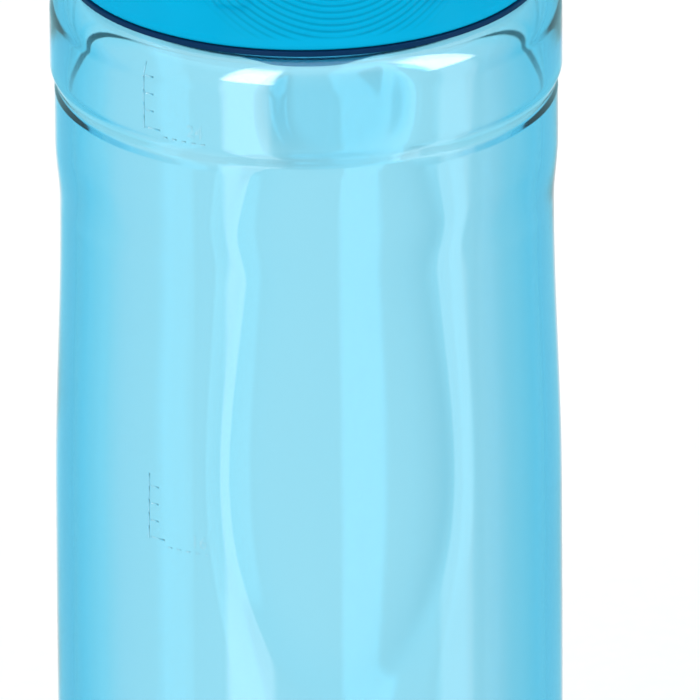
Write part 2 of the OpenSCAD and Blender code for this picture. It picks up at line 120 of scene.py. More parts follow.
# ---------------------------------------------------------------- node helpers
class Graph:
    """Short calls for building a node tree."""

    def __init__(self, tree):
        self.tree = tree
        tree.nodes.clear()

    def node(self, kind, **values):
        made = self.tree.nodes.new(kind)
        for key, value in values.items():
            if hasattr(made, key) and key not in made.inputs:
                setattr(made, key, value)
            else:
                self.put(made, key.replace("_", " "), value)
        return made

    def put(self, made, socket, value):
        target = made.inputs[socket]
        if isinstance(value, bpy.types.NodeSocket):
            self.tree.links.new(value, target)
        else:
            target.default_value = value

    def math(self, operation, a, b=0.0, c=0.0):
        made = self.tree.nodes.new("ShaderNodeMath")
        made.operation = operation
        for i, value in enumerate((a, b, c)):
            self.put(made, i, value)
        return made.outputs[0]

    def spread(self, value, low, high, to_low, to_high, smooth=False):
        made = self.tree.nodes.new("ShaderNodeMapRange")
        made.interpolation_type = "SMOOTHSTEP" if smooth else "LINEAR"
        for i, v in enumerate((value, low, high, to_low, to_high)):
            self.put(made, i, v)
        return made.outputs[0]

    def noise(self, scale, detail=3.0, roughness=0.5):
        made = self.tree.nodes.new("ShaderNodeTexNoise")
        made.inputs["Scale"].default_value = scale
        made.inputs["Detail"].default_value = detail
        made.inputs["Roughness"].default_value = roughness
        self.put(made, "Vector", self.place())
        return made.outputs["Fac"]

    def place(self):
        """Object coordinates, in metres in the bottle's own frame."""
        for made in self.tree.nodes:
            if made.type == "TEX_COORD":
                return made.outputs["Object"]
        return self.tree.nodes.new("ShaderNodeTexCoord").outputs["Object"]

    def mix(self, factor, a, b):
        made = self.tree.nodes.new("ShaderNodeMix")
        made.data_type = "RGBA"
        self.put(made, 0, factor)
        colour_a, colour_b = 6, 7
        for socket, value in ((colour_a, a), (colour_b, b)):
            self.put(made, socket, (*value, 1) if isinstance(value, tuple) else value)
        return made.outputs[2]

    def bump(self, height, distance, strength=1.0):
        made = self.tree.nodes.new("ShaderNodeBump")
        made.inputs["Distance"].default_value = distance
        made.inputs["Strength"].default_value = strength
        self.put(made, "Height", height)
        return made.outputs["Normal"]


def srgb(r, g, b):
    """Linear colour of a display colour given from 0 to 255."""
    shares = (r / 255, g / 255, b / 255)
    return tuple(v / 12.92 if v <= 0.04045 else ((v + 0.055) / 1.055) ** 2.4 for v in shares)


def new_material(name):
    material = bpy.data.materials.new(name)
    material.use_nodes = True
    graph = Graph(material.node_tree)
    shader = graph.node("ShaderNodeBsdfPrincipled")
    output = graph.node("ShaderNodeOutputMaterial")
    graph.tree.links.new(shader.outputs[0], output.inputs["Surface"])
    return material, graph, shader, output


def clear_plastic():
    """Tinted clear copolyester: the tint comes from the thickness that light crosses."""
    material, g, shader, output = new_material("clear_copolyester")
    shader.inputs["Base Color"].default_value = (1, 1, 1, 1)
    shader.inputs["Transmission Weight"].default_value = 1.0
    shader.inputs["IOR"].default_value = 1.55
    haze = g.noise(55, 2)
    scuffs = g.noise(900, 4, 0.7)
    worn = g.spread(scuffs, 0.62, 0.8, 0, 0.05)
    g.put(shader, "Roughness", g.math("ADD", g.spread(haze, 0.3, 0.7, 0.015, 0.05), worn))
    flow = g.noise(28, 1)
    g.put(shader, "Normal", g.bump(flow, 0.00035, 0.25))
    volume = g.node("ShaderNodeVolumeAbsorption")
    volume.inputs["Color"].default_value = (0.06, 0.76, 0.915, 1)
    volume.inputs["Density"].default_value = 268
    g.tree.links.new(volume.outputs[0], output.inputs["Volume"])
    return material


def ring_shade(g):
    """Painted shade mask: 1 in the valleys of the rings on the lid's front, 0 away from them."""
    parts = g.node("ShaderNodeSeparateXYZ", Vector=g.place())
    x, y, z = parts.outputs
    height = g.math("SUBTRACT", z, BUTTON_Z * MM)
    squares = g.math("ADD", g.math("MULTIPLY", x, x), g.math("MULTIPLY", height, height))
    across = g.math("SQRT", squares)
    wave = g.math("COSINE", g.math("MULTIPLY", across, 2 * math.pi / (RING_PITCH * MM)))
    valley = g.spread(wave, -0.2, 1.0, 0, 1, True)
    limits = (
        (across, 0.0085, 0.0092),
        (g.math("MULTIPLY", across, -1.0), -0.025, -0.02),
        (g.math("MULTIPLY", y, -1.0), 0.015, 0.02),
        (z, 0.2086, 0.2096),
    )
    for value, low, high in limits:
        valley = g.math("MULTIPLY", valley, g.spread(value, low, high, 0, 1, True))
    return valley


def moulded(name, colour, rough=0.25, grain=1400, relief=0.00001, vary=0.06, specular=0.35,
            glow=0.0, scuff=0.12, paint_ring_valley_shade=False):
    """Moulded plastic or rubber: slight colour flow, uneven gloss, fine grain and a few scuffs.

    glow is the subsurface share; the ring switch paints shade into the valleys of the fine rings round the
    button.
    """
    material, g, shader, _ = new_material(name)
    flow = g.noise(38, 3)
    fine = g.noise(grain, 3, 0.6)
    scuffs = g.noise(420, 6, 0.75)
    darker = tuple(c * (1 - vary) for c in colour)
    lighter = tuple(min(1, c * (1 + vary) + 0.001) for c in colour)
    base = g.mix(g.spread(flow, 0.3, 0.7, 0, 1), darker, lighter)
    # painted shade: the valleys of the rings on the lid's front get a colour a fifth darker
    if paint_ring_valley_shade:
        base = g.mix(ring_shade(g), base, tuple(c * 0.8 for c in colour))
    g.put(shader, "Base Color", base)
    uneven = g.spread(flow, 0.3, 0.7, rough * 0.85, rough * 1.15)
    g.put(shader, "Roughness", g.math("ADD", uneven, g.spread(scuffs, 0.6, 0.8, 0, scuff)))
    g.put(shader, "Normal", g.bump(fine, relief, 0.5))
    shader.inputs["Specular IOR Level"].default_value = specular
    shader.inputs["Subsurface Weight"].default_value = glow
    shader.inputs["Subsurface Radius"].default_value = (0.6, 0.9, 1.0)
    shader.inputs["Subsurface Scale"].default_value = 0.0015
    return material


def metal(name, colour, rough):
    """Drawn wire or pin: fine streaks in its gloss and slight changes of tone."""
    material, g, shader, _ = new_material(name)
    drawn = g.noise(2600, 3, 0.6)
    flow = g.noise(90, 3)
    darker = tuple(c * 0.86 for c in colour)
    g.put(shader, "Base Color", g.mix(g.spread(flow, 0.3, 0.7, 0, 1), darker, colour))
    g.put(shader, "Roughness", g.spread(drawn, 0.3, 0.7, rough * 0.7, rough * 1.4))
    g.put(shader, "Normal", g.bump(drawn, 0.00001, 0.4))
    shader.inputs["Metallic"].default_value = 1.0
    return material


clear = clear_plastic()
# the lid's plastic carries painted shade in the valleys of its fine rings
lid_plastic = moulded(
    "lid_plastic", srgb(1, 168, 213), rough=0.16, vary=0.05, specular=0.03, scuff=0.05, paint_ring_valley_shade=True
)
button_plastic = moulded("button_plastic", srgb(5, 148, 203), rough=0.3, grain=2200, relief=0.00002)
loop_plastic = moulded("loop_plastic", srgb(5, 150, 205), rough=0.27)
navy_plastic = moulded("navy_plastic", srgb(3, 46, 84), rough=0.32, specular=0.05)
housing_plastic = moulded("housing_plastic", srgb(120, 205, 238), rough=0.35, glow=0.4)
slide_plastic = moulded("slide_plastic", srgb(60, 66, 74), rough=0.38)
soft_nozzle = moulded("soft_nozzle", srgb(214, 236, 242), rough=0.42, relief=0.00002, glow=0.5)
soft_seal = moulded("soft_seal", srgb(236, 240, 240), rough=0.5, relief=0.00002, glow=0.4)
steel = metal("steel", (0.62, 0.63, 0.64), 0.24)


# ---------------------------------------------------------------- mesh helpers
def finish_mesh(obj, sharp=32):
    """Outward faces, smooth shading and crisp edges only where faces meet at more than sharp degrees."""
    work = bmesh.new()
    work.from_mesh(obj.data)
    bmesh.ops.remove_doubles(work, verts=work.verts, dist=1e-7)
    bmesh.ops.dissolve_degenerate(work, edges=work.edges, dist=1e-7)
    bmesh.ops.recalc_face_normals(work, faces=work.faces)
    work.to_mesh(obj.data)
    work.free()
    obj.data.shade_smooth()
    obj.data.set_sharp_from_angle(angle=math.radians(sharp))
    return obj


def object_of(mesh, name):
    obj = bpy.data.objects.new(name, mesh)
    bpy.context.scene.collection.objects.link(obj)
    return obj


def object_from(work, name):
    """Object from a finished bmesh, which is freed."""
    mesh = bpy.data.meshes.new(name)
    work.to_mesh(mesh)
    work.free()
    return object_of(mesh, name)


def raw_object(name, verts, faces):
    mesh = bpy.data.meshes.new(name)
    mesh.from_pydata((np.asarray(verts, float) * MM).tolist(), [], faces)
    return object_of(mesh, name)


def rings_object(name, rings, wrap=False):
    """Skin over rings of points; a ring of one point is a pole. wrap joins the last ring to the first."""
    verts, starts, counts, faces = [], [], [], []
    for ring in rings:
        starts.append(len(verts))
        counts.append(len(ring))
        verts.extend(ring)
    pairs = list(zip(range(len(rings) - 1), range(1, len(rings))))
    if wrap:
        pairs.append((len(rings) - 1, 0))
    for i, k in pairs:
        a, b, n, m = starts[i], starts[k], counts[i], counts[k]
        if n == m == 1:
            continue
        for j in range(max(n, m)):
            j2 = (j + 1) % max(n, m)
            if n == 1:
                faces.append((a, b + j2, b + j))
            elif m == 1:
                faces.append((a + j, a + j2, b))
            else:
                faces.append((a + j, a + j2, b + j2, b + j))
    return raw_object(name, verts, faces)


def rounded(points, steps=6):
    """Outline through (x, y, fillet) corners, with each corner rounded."""
    n, out = len(points), []
    for i, (x, y, fillet) in enumerate(points):
        p = np.array((x, y), float)
        if fillet <= 0:
            out.append(p)
            continue
        before = np.array(points[i - 1][:2], float) - p
        after = np.array(points[(i + 1) % n][:2], float) - p
        la, lb = np.linalg.norm(before), np.linalg.norm(after)
        cosine = float(np.clip(before @ after / (la * lb), -0.999, 0.999))
        reach = min(fillet / math.tan(math.acos(cosine) / 2), 0.48 * la, 0.48 * lb)
        a, b = p + before / la * reach, p + after / lb * reach
        for t in np.linspace(0, 1, steps + 1):
            out.append((1 - t) ** 2 * a + 2 * t * (1 - t) * p + t * t * b)
    return np.array(out)


def lathe(name, corners, cols=96, centre=(0, 0, 0), along="Z", steps=6):
    """Turned piece from (radius, height, fillet) corners.

    It is solid if the corners start and end on the axis, else a ring.
    """
    outline = rounded(corners, steps)
    solid = outline[0][0] < 1e-6 and outline[-1][0] < 1e-6
    angles = np.arange(cols) * 2 * math.pi / cols
    rings = []
    for r, z in outline:
        if r < 1e-6:
            rings.append([(0.0, 0.0, z)])
        else:
            rings.append([(r * math.cos(a), r * math.sin(a), z) for a in angles])
    turned = []
    for ring in rings:
        if along == "Y":  # heights run towards the front
            ring = [(x, -z, y) for x, y, z in ring]
        elif along == "X":
            ring = [(z, x, y) for x, y, z in ring]
        turned.append([(x + centre[0], y + centre[1], z + centre[2]) for x, y, z in ring])
    return rings_object(name, turned, wrap=not solid)


def rod(name, radius, low, high, cols, centre, along="Z"):
    """Plain cylinder for cutting a hole."""
    return lathe(name, [(0, low, 0), (radius, low, 0), (radius, high, 0), (0, high, 0)], cols, centre, along)


def block(name, low, high, bevel=0.4, segments=3):
    """Box with rounded edges."""
    work = bmesh.new()
    bmesh.ops.create_cube(work, size=1)
    low, high = Vector(low), Vector(high)
    for v in work.verts:
        v.co = Vector([(low[i] + high[i]) / 2 + v.co[i] * (high[i] - low[i]) for i in range(3)]) * MM
    if bevel:
        bmesh.ops.bevel(
            work, geom=work.edges[:], offset=bevel * MM, segments=segments, affect="EDGES", profile=0.5
        )
    return object_from(work, name)


def joined(name, parts):
    """One object from several closed parts that don't touch."""
    work = bmesh.new()
    for part in parts:
        work.from_mesh(part.data)
        bpy.data.objects.remove(part)
    bmesh.ops.recalc_face_normals(work, faces=work.faces)
    return object_from(work, name)


def prism(name, outline, low, high, bevel):
    """Upright plate with a given outline and rounded upper and lower edges."""
    work = bmesh.new()
    verts = [work.verts.new((x * MM, y * MM, low * MM)) for x, y in outline]
    face = work.faces.new(verts)
    lifted = bmesh.ops.extrude_face_region(work, geom=[face])["geom"]
    upper = [v for v in lifted if isinstance(v, bmesh.types.BMVert)]
    bmesh.ops.translate(work, verts=upper, vec=(0, 0, (high - low) * MM))
    bmesh.ops.recalc_face_normals(work, faces=work.faces)
    level = [e for e in work.edges if abs(e.verts[0].co.z - e.verts[1].co.z) < 1e-9]
    bmesh.ops.bevel(work, geom=level, offset=bevel * MM, segments=3, affect="EDGES", profile=0.5)
    return object_from(work, name)


def close_skin(obj):
    """Joins the two open rims that a skin of rings leaves."""
    work = bmesh.new()
    work.from_mesh(obj.data)
    bmesh.ops.remove_doubles(work, verts=work.verts, dist=1e-8)
    bmesh.ops.bridge_loops(work, edges=[e for e in work.edges if e.is_boundary])
    work.to_mesh(obj.data)
    work.free()


def combine(obj, tool, operation):
    """Adds or cuts one closed mesh and removes the tool."""
    for each in (obj, tool):
        work = bmesh.new()
        work.from_mesh(each.data)
        bmesh.ops.recalc_face_normals(work, faces=work.faces)
        work.to_mesh(each.data)
        work.free()
    modifier = obj.modifiers.new("shape", "BOOLEAN")
    modifier.operation = operation
    modifier.solver = "MANIFOLD"
    modifier.object = tool
    graph = bpy.context.evaluated_depsgraph_get()
    made = bpy.data.meshes.new_from_object(obj.evaluated_get(graph))
    obj.modifiers.clear()
    obj.data = made
    bpy.data.objects.remove(tool)
    return obj


def dress(obj, body, material, replaces=(), sharp=32):
    """Gives a piece its shading, its material, its CAD body, if it rides on one."""
    finish_mesh(obj, sharp)
    obj.data.materials.clear()
    obj.data.materials.append(material)
    if body:
        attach(obj, body)
    if replaces:
        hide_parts(*replaces)
    return obj


def ease(z, z0, v0, z1, v1):
    """Half a cosine wave from v0 at z0 to v1 at z1."""
    return v0 + (v1 - v0) * (1 - np.cos(np.pi * (np.asarray(z, float) - z0) / (z1 - z0))) / 2


def soft_min(a, b, k):
    """Lesser of a and b, rounded where they cross, over a band k wide."""
    h = np.maximum(k - np.abs(a - b), 0) / k
    return np.minimum(a, b) - h * h * k / 4


def smooth(x, low, high):
    """0 below low, 1 above high, and a smooth step between them."""
    t = np.clip((np.asarray(x, float) - low) / (high - low), 0, 1)
    return t * t * (3 - 2 * t)


# ---------------------------------------------------------------- bottle
def body_radius(z):
    z = np.asarray(z, float)
    return np.select(
        [z < 26, z <= 108, z < 125, z < 171.3, z < 181],
        [ease(z, 9, 35, 26, 36.4), 36.4, 36.4 - 0.05 * (z - 108) / 17,
         ease(z, 125, 36.35, 171.3, 35.25), ease(z, 171.3, 35.25, 181, 35.85)],
        35.85,
    )


def grip_radius(turn, z, inset=0.0):
    """Distance from the axis to the hollow face of the grip oval, whose middle faces the front."""
    back = 36.25
    face = 70 - inset + (z - 159) ** 2 / 920
    return -back * np.cos(turn) + np.sqrt(face**2 - (back * np.sin(turn)) ** 2)


def outside_radius(turn, z):
    """Outside of the body below the groove, at an angle from the front."""
    round_r = body_radius(z)
    near = np.cos(turn) > 0.5
    grip = np.where(near & (np.asarray(z) > 105), grip_radius(turn, z), 99.0)
    return soft_min(round_r, grip, 0.22)


def inside_radius(turn, z):
    """Inside of the wall, which follows the oval more softly than the outside does."""
    near = (np.cos(turn) > 0.5) & (np.asarray(z) > 105)
    grip = np.where(near, grip_radius(turn, z, WALL), 99.0)
    return soft_min(body_radius(z) - WALL, grip, 1.5)


def collar_inside(turn, z):
    """Inside of the collar, with the U-shaped thick patch in its front."""
    share = ease(np.clip(z, 189.6, 192.6), 189.6, 0.0, 192.6, 1.0)
    wall = (1 - share) * inside_radius(turn, z) + share * (COLLAR_R - COLLAR_WALL)
    near = np.cos(turn) > 0
    across = np.abs(COLLAR_R * np.sin(turn))
    low = np.maximum(200.0 - z, 0) / 9.6
    edge = (np.power(across / 9.7, 2.6) + np.power(low, 2.6)) ** (1 / 2.6)
    patch = smooth(-edge, -1.3, -0.66) * near
    return wall - PAD * patch


def thread(turn, z, start_z, span=150.0, height=1.2):
    """Height of the two-start ridge at an angle from the front."""
    climb = np.zeros_like(turn)
    for start in (0.0, 180.0):
        angle = np.mod(np.degrees(turn) - 90 - start, 360)
        angle = np.where(angle > 330, angle - 360, angle)
        ends = smooth(angle, -9, 12) * smooth(-angle, -span - 9, -span + 12)
        centre = start_z + LEAD * angle / 360
        climb = np.maximum(climb, height * ends * (1 - smooth(np.abs(z - centre), 0.45, 1.35)))
    return climb


def front_columns(half, step, coarse):
    """Angles from the front, finer within half degrees of it."""
    fine = np.arange(-half, half + step / 2, step)
    rest = np.linspace(half, 360 - half, int((360 - 2 * half) / coarse) + 1)[1:-1]
    return np.radians(np.concatenate([fine, rest]))


def point_ring(turns, radius, z):
    radius = np.broadcast_to(radius, turns.shape)
    z = np.broadcast_to(z, turns.shape)
    return np.stack([radius * np.sin(turns), -radius * np.cos(turns), z], 1).tolist()


def make_bottle():
    """One closed skin: under the foot, up the outside, over the neck and down the inside."""
    turns = front_columns(36, 0.6, 2.4)
    rings = [[(0, 0, 5.2)]]
    for r in (4, 9, 14, 19):
        rings.append(point_ring(turns, r, 5.2 - 1.2 * (r / 21) ** 2))
    for r, z in rounded([(21, 4.0, 0), (24.2, 4.0, 1.5), (26.0, 0.0, 1.2), (28.5, 0.0, 0)], 6):
        rings.append(point_ring(turns, r, z))
    for a in np.radians(np.arange(8, 90, 8)):
        rings.append(point_ring(turns, 28.5 + 6.5 * math.sin(a), 9 * (1 - math.cos(a))))
    heights = [*np.linspace(9, 26, 12), *np.linspace(34, 106, 10), *np.arange(107, 188.2, 0.6)]
    for z in heights:
        rings.append(point_ring(turns, outside_radius(turns, z), z))
    groove = [
        (35.85, 188.4, 0), (35.85, 188.9, 0.9), (35.5, GROOVE_Z, 1.2),
        (COLLAR_R, 192.2, 2.4), (COLLAR_R, 193.8, 0),
    ]
    for r, z in rounded(groove, 8):
        radius = r
        if z < GROOVE_Z:
            radius = np.where(np.cos(turns) > 0.5, np.minimum(r, grip_radius(turns, z)), r)
        rings.append(point_ring(turns, radius, z))
    for z in (194.6, 196):
        rings.append(point_ring(turns, COLLAR_R, z))
    for a in np.radians(np.arange(0, 91, 6)):
        shoulder = COLLAR_R - COLLAR_ROUND * (1 - math.cos(a))
        rings.append(point_ring(turns, shoulder, RIM_Z - COLLAR_ROUND * (1 - math.sin(a))))
    for r, z in rounded([(30.4, RIM_Z, 0), (NECK_R, RIM_Z, 0.6), (NECK_R, RIM_Z + 2.2, 0)], 5):
        rings.append(point_ring(turns, r, z))
    for z in np.arange(RIM_Z + 2.6, NECK_TOP - 0.55, 0.3):
        rings.append(point_ring(turns, NECK_R + thread(turns, z, 211.2), z))
    neck_lip = [
        (NECK_R, NECK_TOP - 0.4, 0), (NECK_R, NECK_TOP, 0.45),
        (NECK_IN, NECK_TOP, 0.6), (NECK_IN, NECK_TOP - 1.5, 0),
    ]
    for r, z in rounded(neck_lip, 5):
        rings.append(point_ring(turns, r, z))
    inner = COLLAR_R - COLLAR_WALL
    bend_r = COLLAR_ROUND - COLLAR_WALL
    hollow = [(NECK_IN, RIM_Z + 6, 0), (NECK_IN, RIM_Z - COLLAR_WALL, 3.6)]
    hollow += [
        (inner - bend_r * (1 - math.cos(a)), RIM_Z - COLLAR_ROUND + bend_r * math.sin(a), 0)
        for a in np.radians(np.arange(90, -1, -7.5))
    ]
    for r, z in rounded(hollow, 6):
        rings.append(point_ring(turns, np.minimum(r, collar_inside(turns, z)), z))
    for z in np.arange(200.4, 184.3, -0.4):
        rings.append(point_ring(turns, collar_inside(turns, z), z))
    for z in [*np.arange(184, 107, -0.8), *np.linspace(100, 26, 8), *np.linspace(24, 14, 6)]:
        rings.append(point_ring(turns, inside_radius(turns, z), z))
    inner_base = [(32.3, 12, 0), (31.2, 4.2, 5.0), (27.5, 2.4, 2.0), (24.0, 6.4, 2.0), (12, 7.2, 0)]
    for r, z in rounded(inner_base, 6):
        rings.append(point_ring(turns, r, z))
    rings.append(point_ring(turns, 5, 7.5))
    rings.append([(0, 0, 7.6)])
    bottle = rings_object("clear_bottle", rings)
    return dress(bottle, "bottle", clear, ["bottle_body"], sharp=60)


make_bottle()


# ---------------------------------------------------------------- lid
def lid_relief(x, y, z, side):
    """Height of the guard rail and the fine rings on the lid's outside; side is 1 on its upright wall."""
    front = y < 0
    across = np.hypot(x, z - BUTTON_Z)
    arch = np.where(z > BUTTON_Z, across, np.abs(x))
    rail = smooth(arch, 12.0, 13.2) * smooth(-arch, -17.2, -16.0)
    foot = smooth(z, 212.6, 214.2)
    rail = rail * foot * smooth(-y, 27.3, 28.2) * front
    fade = smooth(z, 208.6, 209.6) * smooth(-z, -236, -230)
    fade = fade * smooth(-across, -25, -20) * smooth(across, 8.4, 9.2)
    rings = 0.5 + 0.5 * np.cos(2 * np.pi * across / RING_PITCH)
    inward = 0.18 * rings * fade * front * side * (1 - rail)
    return rail * 0.95 - inward


def make_lid():
    """Hollow shell with its rail and rings raised on the skin, hinge ears added and its holes cut."""
    turns = front_columns(52, 0.4, 3.0)
    outline = []  # radius, height, outward normal, share of the upright wall
    foot = [(31.6, LID_Z, 0), (LID_EDGE_R, LID_Z, 0.45), (LID_EDGE_R - 0.02, LID_Z + 1.2, 0)]
    for r, z in rounded(foot, 6):
        outline.append((r, z, 0.0, -1.0, 0.0))
    for z in np.arange(LID_Z + 1.3, DECK_Z - DECK_ROUND, 0.24):
        r = LID_EDGE_R + (LID_TOP_R - LID_EDGE_R) * (z - LID_Z) / (DECK_Z - DECK_ROUND - LID_Z)
        outline.append((r, z, 1.0, 0.0, 1.0))
    for a in np.radians(np.arange(0, 90.1, 3.6)):
        r = LID_TOP_R - DECK_ROUND + DECK_ROUND * math.cos(a)
        outline.append((r, DECK_Z - DECK_ROUND + DECK_ROUND * math.sin(a), math.cos(a), math.sin(a), 1.0))
    for r in (24, 21, 18, 15, 12, 9, 6, 3):
        outline.append((r, DECK_Z, 0.0, 1.0, 0.0))
    rings = []
    for r, z, nr, nz, side in outline:
        ring = np.array(point_ring(turns, r, z))
        lift = lid_relief(ring[:, 0], ring[:, 1], ring[:, 2], side) if nr + nz > 0 else np.zeros(len(turns))
        normal = np.stack([nr * np.sin(turns), -nr * np.cos(turns), np.full(len(turns), nz)], 1)
        rings.append((ring + normal * lift[:, None]).tolist())
    rings.append([(0, 0, DECK_Z)])
    under = DECK_Z - 1.6
    rings.append([(0, 0, under)])
    hollow = [(4, under, 0), (LID_TOP_R - 1.6, under, 5.4), (LID_TOP_R - 1.5, 222, 0), (31.5, 221.8, 0)]
    for r, z in rounded(hollow, 8):
        rings.append(point_ring(turns, r, z))
    lid = rings_object("lid_shell", rings, wrap=False)
    close_skin(lid)
    ears = []
    ear_r, ear_half = 3, 1.5
    for side in (-1, 1):
        centre = side * 10.4
        profile = [(0, -ear_half, 0), (ear_r, -ear_half, 0.4), (ear_r, ear_half, 0.4), (0, ear_half, 0)]
        ears.append(lathe("ear", profile, 48, (centre, HINGE[1], HINGE[2]), "X"))
        low = (centre - ear_half, HINGE[1] - ear_r, DECK_Z - 0.7)
        high = (centre + ear_half, HINGE[1] + ear_r, HINGE[2])
        combine(ears[-1], block("ear_foot", low, high, 0), "UNION")
    for ear in ears:
        combine(lid, ear, "UNION")
    button_bore = [(0, 24, 0), (6.75, 24, 0), (6.75, 31.6, 0), (7.1, 36, 0), (0, 36, 0)]
    nozzle_bore = [(0, 230, 0), (7.8, 230, 0), (7.8, 238.6, 0), (8.3, 239.2, 0), (8.3, 245, 0), (0, 245, 0)]
    cutters = [
        lathe("button_bore", button_bore, 96, (0, 0, BUTTON_Z), "Y"),
        lathe("nozzle_bore", nozzle_bore, 96, (0, NOZZLE_Y, 0)),
        block("latch_slot", (-3.4, -26.9, 230), (3.4, -19.7, 245), 0.5),
        rod("knuckle_trough", 3.1, -8.85, 8.85, 48, HINGE, "X"),
        rod("pin_hole", PIN_HOLE_R, -13, -8.5, 32, HINGE, "X"),
        rod("pin_hole", PIN_HOLE_R, 8.5, 13, 32, HINGE, "X"),
        rod("pivot_hole", PIVOT_R, -38.0, -28.0, 32, (0, 0, LOOP_Z), "X"),
        rod("pivot_hole", PIVOT_R, 28.0, 38.0, 32, (0, 0, LOOP_Z), "X"),
    ]
    for cutter in cutters:
        combine(lid, cutter, "DIFFERENCE")
    return dress(lid, "cap", lid_plastic, ["cap_shell"], sharp=35)


make_lid()


# ---------------------------------------------------------------- volume scale
def skin_radius(z):
    """Radius of the clear body's outside beside the oval, with the collar's rounded shoulder."""
    if z < GROOVE_Z:
        return float(body_radius(z))
    rise = min(max((z - (RIM_Z - COLLAR_ROUND)) / COLLAR_ROUND, 0), 1)
    return COLLAR_R - COLLAR_ROUND * (1 - math.sqrt(1 - rise * rise))


def bend(obj, turn, z):
    """Wraps a flat piece, drawn in x and y with its depth in z, round the bottle."""
    for v in obj.data.vertices:
        radius = skin_radius(z + v.co.y / MM) * MM
        angle = math.radians(turn) + v.co.x / radius
        reach = radius + v.co.z
        v.co = Vector((reach * math.sin(angle), -reach * math.cos(angle), z * MM + v.co.y))
    return obj


def numeral(text, height):
    """Flat raised figures from Blender's own typeface."""
    data = bpy.data.curves.new("numeral", "FONT")
    data.body = text
    data.size = height * MM
    data.extrude = 0.012 * MM
    data.bevel_depth = 0.008 * MM
    data.resolution_u = 3
    source = bpy.data.objects.new("numeral", data)
    bpy.context.scene.collection.objects.link(source)
    mesh = bpy.data.meshes.new_from_object(source.evaluated_get(bpy.context.evaluated_depsgraph_get()))
    bpy.data.objects.remove(source)
    return object_of(mesh, "numeral")


def make_scale():
    """Moulded volume scale: short pieces of an upright spine with marks, and a figure every eight ounces."""
    parts = []

    def mark(x, z, wide, tall):
        bar = block("mark", (x, -tall / 2, -0.008), (x + wide, tall / 2, 0.018), 0.012, 2)
        parts.append(bend(bar, SCALE_TURN, z))

    for label, low, high in (("24", 193.6, 203.6), ("16", 130.6, 140.6), ("8", 65.6, 75.6)):
        steps = 5
        for i in range(steps):
            mark(-0.15, low + (high - low) * (i + 0.5) / steps, 0.3, (high - low) / steps - 0.04)
        for i in range(4):
            mark(0.25, low + 0.3 + 2.6 * i, 1.5 if i else 2.6, 0.26)
        for i in range(5):
            mark(3.4 + 1.5 * i, low - 0.6, 0.7, 0.26)
        figure = numeral(label, 2.6)
        for v in figure.data.vertices:
            v.co.x += 7.2 * MM
            v.co.z += 0.01 * MM
        parts.append(bend(figure, SCALE_TURN, low + 0.3))
    return dress(joined("volume_scale", parts), "bottle", clear, sharp=40)


make_scale()


# ---------------------------------------------------------------- insert and seals
def thread_inside(turn, z):
    """Radius of the insert's threaded bore."""
    return 30.0 - thread(turn, z, 209.4)


def make_insert():
    turns = front_columns(30, 1.2, 2.4)
    low = RIM_Z + 0.05
    rings = []
    outer = [
        (30.0, low, 0), (32.6, low, 0.1), (32.8, low - 0.35, 0.1), (34.0, low - 0.35, 0.12),
        (34.0, low + 0.4, 0.12), (31.4, low + 0.4, 0.3), (31.4, INSERT_TOP, 0.5), (26.0, INSERT_TOP, 0),
    ]
    for r, z in rounded(outer, 5):
        rings.append(point_ring(turns, r, z))
    rings.append([(0, 0, INSERT_TOP)])
    rings.append([(0, 0, CEILING_Z)])
    rings.append(point_ring(turns, 12, CEILING_Z))
    for r, z in rounded([(26.0, CEILING_Z, 0), (30.0, CEILING_Z, 0.5), (30.0, CEILING_Z - 1.2, 0)], 4):
        rings.append(point_ring(turns, r, z))
    for z in np.arange(CEILING_Z - 1.5, low + 0.5, -0.3):
        rings.append(point_ring(turns, thread_inside(turns, z), z))
    insert = rings_object("threaded_insert_look", rings, wrap=False)
    close_skin(insert)
    post = block("post", (-4.5, -22.3, INSERT_TOP - 0.3), (4.5, -20.7, INSERT_TOP + 6.5), 0.35)
    combine(insert, post, "UNION")
    for side in (-1, 1):
        x = side * 3.4
        web = block("web", (x - 0.5, -21.6, INSERT_TOP - 0.3), (x + 0.5, -18.2, INSERT_TOP + 2.6), 0.25)
        combine(insert, web, "UNION")
    combine(insert, rod("housing_hole", 9.9, 210, 230, 96, (0, NOZZLE_Y, 0)), "DIFFERENCE")
    combine(insert, rod("vent_hole", 1.45, 210, 230, 32, (0, VENT_Y, 0)), "DIFFERENCE")
    for turn in (45, 135, 225, 315):  # air holes under the umbrella valve
        x, y = 2.7 * math.sin(math.radians(turn)), VENT_Y + 2.7 * math.cos(math.radians(turn))
        combine(insert, rod("air_hole", 0.45, 210, 230, 16, (x, y, 0)), "DIFFERENCE")
    return dress(insert, "cap", navy_plastic, ["threaded_insert"], sharp=35)


